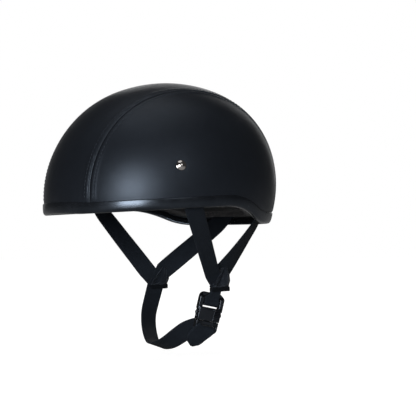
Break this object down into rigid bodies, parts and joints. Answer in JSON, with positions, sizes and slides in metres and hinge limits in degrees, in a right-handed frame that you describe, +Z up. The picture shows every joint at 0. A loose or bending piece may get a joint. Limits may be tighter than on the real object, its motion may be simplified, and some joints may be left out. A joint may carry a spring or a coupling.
{
  "type": "half shell motorcycle helmet",
  "caption": "Half shell motorcycle helmet with a sewn leather skin, rubber rim beading, foam liner, webbing Y straps and a side release chin buckle.",
  "frame": {"origin": "middle of the head opening, level with the front of the rim", "axes": "+Z up through the crown, -Y towards the brow, +X to the wearer's left"},
  "size_m": [0.2298, 0.2686, 0.2973],
  "materials": {
    "leather": "matte black leather with a fine grain",
    "shell_plastic": "moulded black plastic",
    "beading": "smooth half gloss black rubber",
    "foam": "expanded foam, black",
    "lining": "black brushed cloth",
    "padding": "black mesh cloth over soft foam",
    "rivet_metal": "polished, nickel plated",
    "washer_steel": "plain zinc plated",
    "webbing": "black woven webbing",
    "binding_tape": "black satin tape",
    "buckle_plastic": "gloss black moulded plastic"
  },
  "bodies": {
    "root": {"outer_shell": "shell_plastic", "centre_leather": "leather", "side_leather_left": "leather", "side_leather_right": "leather", "seam_welt_left": "leather", "seam_welt_right": "leather", "rim_beading": "beading", "foam_liner": "foam", "cloth_lining": "lining", "brow_pad": "padding", "nape_pad": "padding", "side_pad_left": "padding", "side_pad_right": "padding", "crown_pad": "padding", "front_rivets": "rivet_metal", "rear_rivets": "rivet_metal", "front_washers": "washer_steel", "rear_washers": "washer_steel", "front_strap_left": "webbing", "front_strap_right": "webbing", "rear_strap_left": "webbing", "rear_strap_right": "webbing", "buckle_loop": "webbing", "chin_strap": "webbing", "strap_fold_left": "binding_tape", "strap_fold_right": "binding_tape", "buckle_socket": "buckle_plastic"},
    "plug": {"buckle_plug": "buckle_plastic", "strap_tail": "webbing"},
    "rear_arm": {"rear_arm": "buckle_plastic"},
    "front_arm": {"front_arm": "buckle_plastic"}
  },
  "joints": [
    {"name": "buckle_release", "type": "slide", "parent": "root", "child": "plug", "axis": [-0.13, -0.18, -0.975], "range_m": [0, 0.024], "deforming": ["chin_strap", "rear_arm", "front_arm"]},
    {"name": "rear_arm_squeeze", "type": "hinge", "parent": "plug", "child": "rear_arm", "pos_m": [0.06498, 0.03098, -0.12139], "axis": [0.9884, -0.1012, -0.1131], "range_deg": [0, 21], "stiffness_Nm_per_rad": 0.01},
    {"name": "front_arm_squeeze", "type": "hinge", "parent": "plug", "child": "front_arm", "pos_m": [0.0634, 0.01122, -0.11753], "axis": [0.9884, -0.1012, -0.1131], "range_deg": [-21, 0], "stiffness_Nm_per_rad": 0.01}
  ],
  "couplings": [
    {"joint": "front_arm_squeeze", "follows": "rear_arm_squeeze", "ratio": -1}
  ]
}
